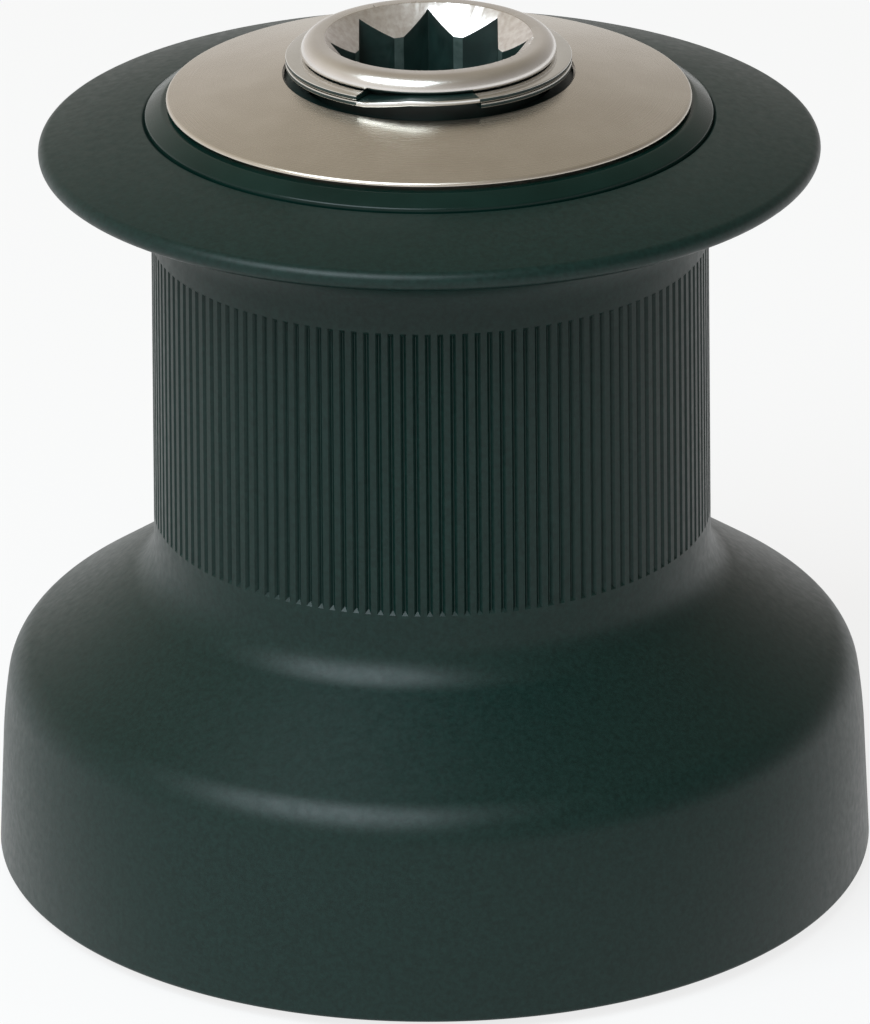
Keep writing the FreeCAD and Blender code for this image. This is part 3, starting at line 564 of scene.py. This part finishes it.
def make_retaining_ring():
    low, high = RETAINER_LOW, RETAINER_LOW + WIRE_THICK
    corners = [(WIRE_R, low), (RETAINER_R, low), (RETAINER_R, high), (WIRE_R, high)]
    piece = draw_section("two_turn_retaining_ring", corners + corners[:1])
    weld()
    ease_corners(piece, corners, WIRE_EDGE)
    bpy.ops.mesh.select_all(action="SELECT")
    sweep(LOWER_SPAN, 208)
    rise = RETAINER_TOP - high
    for _ in range(JOG_STEPS):
        sweep(JOG_SPAN / JOG_STEPS, 1)
        bpy.ops.transform.translate(value=(0, 0, rise / JOG_STEPS * MM))
    sweep(UPPER_SPAN, 226)
    bpy.ops.mesh.select_all(action="SELECT")
    bpy.ops.mesh.fill_holes(sides=0)
    close_up()
    turn_to(piece, LOWER_END)
    smooth(piece, 32)
    return piece


# Finishes

def new_finish(name, settings):
    finish = bpy.data.materials.new(name)
    finish.use_nodes = True
    tree = finish.node_tree
    shader = tree.nodes["Principled BSDF"]
    for socket, value in settings.items():
        shader.inputs[socket].default_value = value
    return finish, tree, shader


def place(tree):
    return tree.nodes.new("ShaderNodeTexCoord").outputs["Object"]


def grain(tree, scale, detail=3, roughness=0.55):
    """Even speckle all through a piece."""
    noise = tree.nodes.new("ShaderNodeTexNoise")
    noise.inputs["Scale"].default_value = scale
    noise.inputs["Detail"].default_value = detail
    noise.inputs["Roughness"].default_value = roughness
    tree.links.new(place(tree), noise.inputs["Vector"])
    return noise.outputs["Fac"]


def turning_marks(tree, scale):
    """Fine rings left by the lathe, by distance from the axis."""
    flat = tree.nodes.new("ShaderNodeVectorMath")
    flat.operation = "MULTIPLY"
    flat.inputs[1].default_value = (1, 1, 0)
    tree.links.new(place(tree), flat.inputs[0])
    length = tree.nodes.new("ShaderNodeVectorMath")
    length.operation = "LENGTH"
    tree.links.new(flat.outputs["Vector"], length.inputs[0])
    rings = tree.nodes.new("ShaderNodeTexNoise")
    rings.noise_dimensions = "1D"
    rings.inputs["Scale"].default_value = scale
    rings.inputs["Detail"].default_value = 4
    tree.links.new(length.outputs["Value"], rings.inputs["W"])
    return rings.outputs["Fac"]


def between(tree, factor, low, high, start=0.3, stop=0.7):
    """Map a pattern onto a range of values."""
    ramp = tree.nodes.new("ShaderNodeMapRange")
    ramp.inputs["From Min"].default_value = start
    ramp.inputs["From Max"].default_value = stop
    ramp.inputs["To Min"].default_value = low
    ramp.inputs["To Max"].default_value = high
    tree.links.new(factor, ramp.inputs["Value"])
    return ramp.outputs["Result"]


def two_tones(tree, factor, dark, light, start=0.35, stop=0.65):
    """Map a pattern onto colours between two tones."""
    ramp = tree.nodes.new("ShaderNodeValToRGB")
    ramp.color_ramp.elements[0].position = start
    ramp.color_ramp.elements[0].color = dark + (1,)
    ramp.color_ramp.elements[1].position = stop
    ramp.color_ramp.elements[1].color = light + (1,)
    tree.links.new(factor, ramp.inputs["Fac"])
    return ramp.outputs["Color"]


def raise_surface(tree, shader, height, depth):
    """Raise a pattern from the surface by a depth in millimetres."""
    bump = tree.nodes.new("ShaderNodeBump")
    bump.inputs["Strength"].default_value = 1
    bump.inputs["Distance"].default_value = depth * MM
    tree.links.new(height, bump.inputs["Height"])
    tree.links.new(bump.outputs["Normal"], shader.inputs["Normal"])


def black_anodising():
    """Satin black with a green cast and a fine matt tooth."""
    finish, tree, shader = new_finish("satin black anodising", {"IOR": 1.5, "Specular IOR Level": 0.27})
    speckle = grain(tree, 1500, detail=4, roughness=0.7)
    tones = two_tones(tree, speckle, (0.001, 0.012, 0.0095), (0.004, 0.021, 0.0175))
    tree.links.new(tones, shader.inputs["Base Color"])
    tree.links.new(between(tree, grain(tree, 900), 0.36, 0.44), shader.inputs["Roughness"])
    raise_surface(tree, shader, grain(tree, 2600, detail=2), 0.006)
    return finish


def dark_gloss():
    finish, tree, shader = new_finish("dark glossy ring", {"IOR": 1.5, "Specular IOR Level": 0.22})
    tones = two_tones(tree, grain(tree, 80), (0.001, 0.012, 0.009), (0.003, 0.018, 0.014))
    tree.links.new(tones, shader.inputs["Base Color"])
    tree.links.new(between(tree, grain(tree, 700), 0.2, 0.26), shader.inputs["Roughness"])
    raise_surface(tree, shader, turning_marks(tree, 9000), 0.001)
    return finish


def polished_steel(name, dark, light, rough):
    finish, tree, shader = new_finish(name, {"Metallic": 1.0})
    tones = two_tones(tree, grain(tree, 150, detail=4), dark, light)
    tree.links.new(tones, shader.inputs["Base Color"])
    sheen = between(tree, turning_marks(tree, 4000), rough - 0.03, rough + 0.03)
    tree.links.new(sheen, shader.inputs["Roughness"])
    raise_surface(tree, shader, turning_marks(tree, 9000), 0.0006)
    return finish


def plain_finish(name, dark, light, rough, metallic=0.0, scale=300, depth=0.01):
    finish, tree, shader = new_finish(name, {"Metallic": metallic})
    tones = two_tones(tree, grain(tree, scale, detail=4), dark, light)
    tree.links.new(tones, shader.inputs["Base Color"])
    sheen = between(tree, grain(tree, scale * 3), rough - 0.05, rough + 0.05)
    tree.links.new(sheen, shader.inputs["Roughness"])
    raise_surface(tree, shader, grain(tree, scale * 6, detail=2), depth)
    return finish


finishes = {
    "black_anodised": black_anodising(),
    "dark_ring": dark_gloss(),
    "polished_cap": polished_steel("polished cap", (0.64, 0.59, 0.52), (0.69, 0.64, 0.57), 0.28),
    "polished_spindle": polished_steel("polished spindle", (0.74, 0.71, 0.68), (0.80, 0.77, 0.74), 0.24),
    "bright_ring": polished_steel("bright spring steel", (0.74, 0.73, 0.7), (0.8, 0.79, 0.77), 0.16),
    "cast_alloy": plain_finish(
        "cast alloy", (0.30, 0.31, 0.31), (0.38, 0.39, 0.39), 0.48, metallic=0.7, scale=250, depth=0.04),
    "bronze": plain_finish("machined bronze", (0.42, 0.27, 0.12), (0.52, 0.35, 0.17), 0.34, metallic=1.0),
    "plain_steel": plain_finish("plain steel", (0.46, 0.46, 0.45), (0.56, 0.56, 0.55), 0.3, metallic=1.0),
    "white_acetal": plain_finish("white bearing plastic", (0.70, 0.69, 0.65), (0.76, 0.75, 0.71), 0.42),
    "black_acetal": plain_finish("black bearing plastic", (0.012, 0.012, 0.012), (0.02, 0.02, 0.02), 0.42),
}
# Painted shade: near-black steel where shade falls in the cap's recess, the socket, under the head and on the
# retaining ring's sides. A half-dark painted shade goes on the socket's tooth ends, which catch a little more
# light.
painted_shade_steel = plain_finish(
    "painted shade dark steel", (0.002, 0.012, 0.010), (0.006, 0.022, 0.019), 0.42, scale=400, depth=0.004)
shaded_steel = plain_finish(
    "shaded steel", (0.06, 0.10, 0.09), (0.12, 0.17, 0.16), 0.4, metallic=0.6, scale=500, depth=0.004)
dull_steel = plain_finish(
    "dull machined steel", (0.74, 0.69, 0.66), (0.90, 0.87, 0.85), 0.36, metallic=1.0, scale=1200)

slot_of = {part["node"]: part["material_slot"] for part in frame["record"]["subparts"]}
for name, node in frame["nodes"].items():
    node.data.materials.clear()
    node.data.materials.append(finishes[slot_of[name]])


# Which faces take a second finish, mostly painted shade where shade falls in recesses and gaps. The first two
# values are margins in millimetres, the others are compared with how far a face faces up or away from the
# axis.

NEAR = 0.1
CLEAR = 0.3
SIDEWAYS = 0.1
TILTED = 0.5
FACING = 0.9
SQUARE_ON = 0.98


def in_recess(face):
    return face.r < CAP_RECESS_R + NEAR and face.z < CAP_CREST - CLEAR


def in_socket(face):
    wall = face.r < SINK_R and face.z < HEAD_TOP - CLEAR and abs(face.upward) < TILTED
    floor = face.r < STAR_R and face.z < SOCKET_FLOOR + 2 * NEAR
    return wall or floor


def on_countersink(face):
    return face.r < SINK_R and HEAD_TOP - SINK_DEPTH < face.z < HEAD_TOP - NEAR and face.upward > TILTED


def on_neck(face):
    return face.r > SINK_R and face.z < HEAD_LOW + NEAR / 2


def on_tooth_end(face):
    return face.r < TOOTH_END + NEAR and face.z > SOCKET_FLOOR + CLEAR and face.outward < -FACING


def on_wire_side(face):
    """Painted shade on the inner side, the underside and the outer sides between the turns. Where the upper
    turn runs alone, its outer side stays bright and its top also takes the painted shade.
    """
    alone = UPPER_END < face.degrees < LOWER_END
    if face.outward > SQUARE_ON:
        return not alone
    return face.outward < SIDEWAYS and (face.upward < TILTED or alone)


finish_piece(make_drum(), "drum", "black_anodised", "drum", finishes["black_anodised"])
finish_piece(make_seat_ring(), "drum", "dark_ring", "cap_seat_ring", finishes["dark_ring"])
finish_piece(make_cap(), "drum", "polished_cap", "top_cap", finishes["polished_cap"], (painted_shade_steel, in_recess))
finish_piece(
    make_spindle(), "spindle", "polished_spindle", "spindle", finishes["polished_spindle"],
    (painted_shade_steel, in_socket), (shaded_steel, on_tooth_end), (dull_steel, on_countersink),
    (painted_shade_steel, on_neck))
finish_piece(
    make_retaining_ring(), "spindle", "bright_ring", "cap_retaining_ring", finishes["bright_ring"],
    (painted_shade_steel, on_wire_side))


# Studio

FLOOR_METRES = 12
FLOOR_GLOW = 0.8
LAMP_AIM = 60

CAMERA_AWAY = 902
CAMERA_ABOVE = 23
CAMERA_AIM = 46.2
CAMERA_ROLL = -0.46
CAMERA_LENS = 246.1
CAMERA_SENSOR = 36
PHOTO_HEIGHT_PX = 1024
CAMERA_SHIFT_PX = 2.7


def joined(tree, operation, first, second):
    """Join two values by a math operation. The second may be a plain number."""
    node = tree.nodes.new("ShaderNodeMath")
    node.operation = operation
    tree.links.new(first, node.inputs[0])
    if isinstance(second, float):
        node.inputs[1].default_value = second
    else:
        tree.links.new(second, node.inputs[1])
    return node.outputs["Value"]


def add_floor():
    """Pale floor that looks nearly white to the camera and in polished metal, and keeps a faint shadow."""
    bpy.ops.object.select_all(action="DESELECT")
    bpy.ops.mesh.primitive_plane_add(size=FLOOR_METRES)
    floor = bpy.context.object
    floor.name = "floor"
    finish, tree, shader = new_finish("pale floor", {"Base Color": (0.86, 0.86, 0.86, 1), "Roughness": 0.8})
    glow = tree.nodes.new("ShaderNodeEmission")
    ray = tree.nodes.new("ShaderNodeLightPath").outputs
    mirrored = joined(tree, "MAXIMUM", ray["Is Glossy Ray"], ray["Is Transmission Ray"])
    shown = joined(tree, "MAXIMUM", ray["Is Camera Ray"], mirrored)
    mix = tree.nodes.new("ShaderNodeMixShader")
    tree.links.new(joined(tree, "MULTIPLY", shown, FLOOR_GLOW), mix.inputs["Fac"])
    tree.links.new(shader.outputs["BSDF"], mix.inputs[1])
    tree.links.new(glow.outputs["Emission"], mix.inputs[2])
    tree.links.new(mix.outputs["Shader"], tree.nodes["Material Output"].inputs["Surface"])
    floor.data.materials.append(finish)


def add_softbox(name, place_mm, size_mm, watts, colour):
    """Area lamp that faces the winch."""
    lamp = bpy.data.lights.new(name, "AREA")
    lamp.shape = "RECTANGLE"
    lamp.size, lamp.size_y = size_mm[0] * MM, size_mm[1] * MM
    lamp.energy = watts
    lamp.color = colour
    holder = bpy.data.objects.new(name, lamp)
    bpy.context.scene.collection.objects.link(holder)
    spot = Vector([c * MM for c in place_mm])
    aim = Vector((0, 0, LAMP_AIM * MM)) - spot
    holder.matrix_world = Matrix.Translation(spot) @ aim.to_track_quat("-Z", "Y").to_matrix().to_4x4()


def light_world():
    """Pale room, lightest near the ground and on the left, warmer and darker overhead."""
    world = bpy.data.worlds.new("studio")
    bpy.context.scene.world = world
    world.use_nodes = True
    tree = world.node_tree
    shade = tree.nodes["Background"]
    split = tree.nodes.new("ShaderNodeSeparateXYZ")
    tree.links.new(tree.nodes.new("ShaderNodeTexCoord").outputs["Generated"], split.inputs["Vector"])
    colour = two_tones(
        tree, split.outputs["Z"], (0.78, 0.75, 0.72), (0.46, 0.42, 0.35), start=0.03, stop=0.72)
    strength = between(tree, split.outputs["X"], 1.15, 0.5, start=-0.8, stop=0.8)
    tree.links.new(colour, shade.inputs["Color"])
    tree.links.new(strength, shade.inputs["Strength"])


def add_camera():
    """Seen from the front and a little above, with a very slight roll."""
    height = math.radians(CAMERA_ABOVE)
    lens = bpy.data.cameras.new("camera")
    lens.lens = CAMERA_LENS
    lens.sensor_width = CAMERA_SENSOR
    lens.shift_x = CAMERA_SHIFT_PX / PHOTO_HEIGHT_PX
    lens.clip_start = 0.05
    camera = bpy.data.objects.new("camera", lens)
    bpy.context.scene.collection.objects.link(camera)
    back, up = CAMERA_AWAY * math.cos(height), CAMERA_AIM + CAMERA_AWAY * math.sin(height)
    spot = Matrix.Translation((0, -back * MM, up * MM))
    tilt = Matrix.Rotation(math.pi / 2 - height, 4, "X")
    roll = Matrix.Rotation(math.radians(CAMERA_ROLL), 4, "Z")
    camera.matrix_world = spot @ tilt @ roll
    bpy.context.scene.camera = camera


add_floor()
add_softbox("overhead softbox", (-480, -680, 1010), (1050, 760), 17.0, (0.80, 0.92, 1.0))
light_world()
add_camera()
bpy.context.scene.view_settings.view_transform = "Standard"
